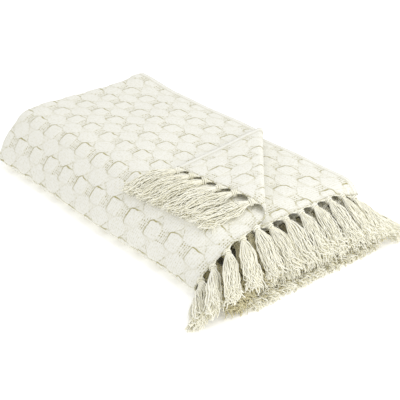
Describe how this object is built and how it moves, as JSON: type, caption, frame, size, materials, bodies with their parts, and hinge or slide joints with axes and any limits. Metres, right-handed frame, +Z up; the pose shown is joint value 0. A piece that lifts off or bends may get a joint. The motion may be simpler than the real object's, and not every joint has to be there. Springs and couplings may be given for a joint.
{
  "type": "bedspread",
  "caption": "Cream cotton basket-weave bedspread folded in a neat stack, with one corner turned back over the top and a knotted tassel fringe along the folded ends.",
  "frame": {"origin": "on the floor, about under the middle of the folded stack's flat underside", "axes": "+X along the folded length towards the fringed end, +Y across it towards the open side, +Z up"},
  "size_m": [0.8172, 0.5129, 0.1425],
  "materials": {
    "woven_cotton": "matte",
    "cotton_yarn": "matte"
  },
  "bodies": {
    "root": {"bedspread_cloth": "woven_cotton", "fringe_turned": "cotton_yarn", "fringe_front": "cotton_yarn", "fringe_floor": "cotton_yarn", "fringe_back": "cotton_yarn", "fringe_top_inner": "cotton_yarn", "fringe_front_inner": "cotton_yarn", "fringe_floor_inner": "cotton_yarn", "fringe_back_inner": "cotton_yarn"}
  },
  "joints": []
}
